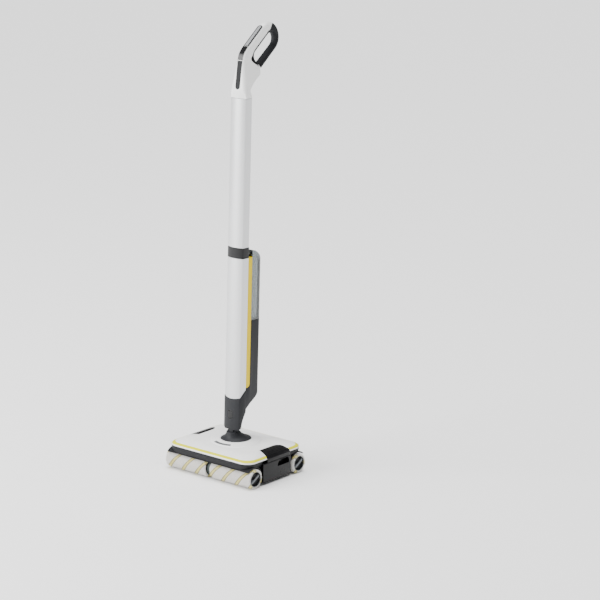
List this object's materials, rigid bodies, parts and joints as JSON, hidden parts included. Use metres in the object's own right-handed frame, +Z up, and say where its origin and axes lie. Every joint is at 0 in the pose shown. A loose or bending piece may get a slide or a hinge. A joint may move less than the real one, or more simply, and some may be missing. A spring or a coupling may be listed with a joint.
{
  "type": "wet dry floor scrubber",
  "caption": "Cordless upright floor scrubber: a wide low head on microfibre rollers, a swivelling stick with a clip-in clear water tank, and a closed loop handle with buttons.",
  "frame": {"origin": "on the floor under the centre of the box round the whole machine", "axes": "+Z up along the stick; X across the head along the rollers; the head's front edge faces -Y and the handle loop and water tank reach back towards +Y"},
  "size_m": [0.304, 0.288, 1.2173],
  "materials": {
    "white_abs": "satin",
    "dark_abs": "fine texture",
    "case_nylon": "matt",
    "yellow_plastic": "satin",
    "trim_yellow": "satin",
    "badge": "satin",
    "silver_tube": "satin metallic",
    "steel": "turned",
    "bronze": "plain bearing bronze",
    "belt_rubber": "matt",
    "wiper_rubber": "matt",
    "pom": "moulded",
    "microfibre": "pile",
    "core_grey": "moulded",
    "clear_grey": "clear, smoke tint",
    "smoke_dark": "smoke tint",
    "cell_wrap": "shrink film",
    "pcb": "solder resist",
    "motor_steel": "plated",
    "soft_grip": "soft touch",
    "gloss_black": "polished",
    "button_grey": "satin",
    "gold_contact": "plated"
  },
  "bodies": {
    "head": {"chassis": "dark_abs", "bumper_frame": "dark_abs", "head_cover": "white_abs", "accent_trim": "trim_yellow", "cover_badge": "badge", "gear_case_left": "case_nylon", "gear_case_right": "case_nylon", "drive_motor": "motor_steel", "front_belt": "belt_rubber", "rear_belt": "belt_rubber", "shaft_bushes": "bronze", "wiper_strips": "wiper_rubber", "water_rails": "pom", "joint_bracket": "dark_abs", "roll_pins": "steel", "head_screws": "steel", "charge_contacts": "gold_contact"},
    "pinion": {"motor_pinion": "steel"},
    "front_layshaft": {"front_layshaft": "pom"},
    "idler": {"idler_gear": "pom"},
    "rear_layshaft": {"rear_layshaft": "pom"},
    "front_axle": {"front_axle": "steel"},
    "rear_axle": {"rear_axle": "steel"},
    "roller_front_left": {"sleeve_front_left": "microfibre", "core_front_left": "core_grey"},
    "roller_front_right": {"sleeve_front_right": "microfibre", "core_front_right": "core_grey"},
    "roller_rear_left": {"sleeve_rear_left": "microfibre", "core_rear_left": "core_grey"},
    "roller_rear_right": {"sleeve_rear_right": "microfibre", "core_rear_right": "core_grey"},
    "dirty_tank_left": {"dirty_tank_left": "smoke_dark", "tank_grip_left": "dark_abs"},
    "dirty_tank_right": {"dirty_tank_right": "smoke_dark", "tank_grip_right": "dark_abs"},
    "swivel": {"swivel_turret": "dark_abs", "tilt_pin": "steel"},
    "stick": {"neck_shell": "dark_abs", "rear_housing": "dark_abs", "neck_badge": "gloss_black", "lower_tube": "silver_tube", "tank_cradle": "yellow_plastic", "collar": "gloss_black", "battery_cells": "cell_wrap", "battery_frame": "core_grey", "main_board": "pcb", "water_pump": "core_grey", "upper_tube": "silver_tube", "handle_shell_left": "white_abs", "handle_shell_right": "white_abs", "loop_grip": "soft_grip", "control_strip": "gloss_black", "display_lens": "gloss_black", "handle_board": "pcb"},
    "power_button": {"power_button": "button_grey"},
    "boost_button": {"boost_button": "button_grey"},
    "fresh_tank": {"fresh_tank": "clear_grey", "tank_cap": "core_grey"}
  },
  "joints": [
    {"name": "front_axle_spin", "type": "hinge", "parent": "head", "child": "front_axle", "pos_m": [0, -0.11688, 0.027], "axis": [1, 0, 0], "continuous": true},
    {"name": "rear_axle_spin", "type": "hinge", "parent": "head", "child": "rear_axle", "pos_m": [0, 0.06412, 0.027], "axis": [1, 0, 0], "continuous": true},
    {"name": "front_layshaft_spin", "type": "hinge", "parent": "head", "child": "front_layshaft", "pos_m": [0.005, -0.05038, 0.028], "axis": [1, 0, 0], "continuous": true},
    {"name": "pinion_spin", "type": "hinge", "parent": "head", "child": "pinion", "pos_m": [0.03, -0.02638, 0.028], "axis": [1, 0, 0], "continuous": true},
    {"name": "idler_spin", "type": "hinge", "parent": "head", "child": "idler", "pos_m": [0.011, -0.00938, 0.028], "axis": [1, 0, 0], "continuous": true},
    {"name": "rear_layshaft_spin", "type": "hinge", "parent": "head", "child": "rear_layshaft", "pos_m": [0.005, 0.01562, 0.028], "axis": [1, 0, 0], "continuous": true},
    {"name": "roller_front_left_slide", "type": "slide", "parent": "front_axle", "child": "roller_front_left", "axis": [-1, 0, 0], "range_m": [0, 0.14]},
    {"name": "roller_front_right_slide", "type": "slide", "parent": "front_axle", "child": "roller_front_right", "axis": [1, 0, 0], "range_m": [0, 0.14]},
    {"name": "roller_rear_left_slide", "type": "slide", "parent": "rear_axle", "child": "roller_rear_left", "axis": [-1, 0, 0], "range_m": [0, 0.14]},
    {"name": "roller_rear_right_slide", "type": "slide", "parent": "rear_axle", "child": "roller_rear_right", "axis": [1, 0, 0], "range_m": [0, 0.14]},
    {"name": "dirty_tank_left_slide", "type": "slide", "parent": "head", "child": "dirty_tank_left", "axis": [-1, 0, 0], "range_m": [0, 0.1]},
    {"name": "dirty_tank_right_slide", "type": "slide", "parent": "head", "child": "dirty_tank_right", "axis": [1, 0, 0], "range_m": [0, 0.1]},
    {"name": "swivel_roll", "type": "hinge", "parent": "head", "child": "swivel", "pos_m": [0, -0.02338, 0.08], "axis": [0, 1, 0], "range_deg": [-28, 28]},
    {"name": "stick_tilt", "type": "hinge", "parent": "swivel", "child": "stick", "pos_m": [0, -0.03338, 0.104], "axis": [-1, 0, 0], "range_deg": [0, 58]},
    {"name": "fresh_tank_slide", "type": "slide", "parent": "stick", "child": "fresh_tank", "axis": [0, 0.0314, 0.9995], "range_m": [0, 0.2]},
    {"name": "power_press", "type": "slide", "parent": "stick", "child": "power_button", "axis": [0, 0.6184, -0.7859], "range_m": [0, 0.0012], "stiffness_N_per_m": 600, "springref_m": -0.0005},
    {"name": "boost_press", "type": "slide", "parent": "stick", "child": "boost_button", "axis": [0, 0.6184, -0.7859], "range_m": [0, 0.0012], "stiffness_N_per_m": 600, "springref_m": -0.0005}
  ],
  "couplings": [
    {"joint": "front_layshaft_spin", "follows": "front_axle_spin", "ratio": 1.4444},
    {"joint": "pinion_spin", "follows": "front_axle_spin", "ratio": -2.8889},
    {"joint": "idler_spin", "follows": "front_axle_spin", "ratio": 2.5679},
    {"joint": "rear_layshaft_spin", "follows": "front_axle_spin", "ratio": -1.4444},
    {"joint": "rear_axle_spin", "follows": "front_axle_spin", "ratio": -1}
  ]
}
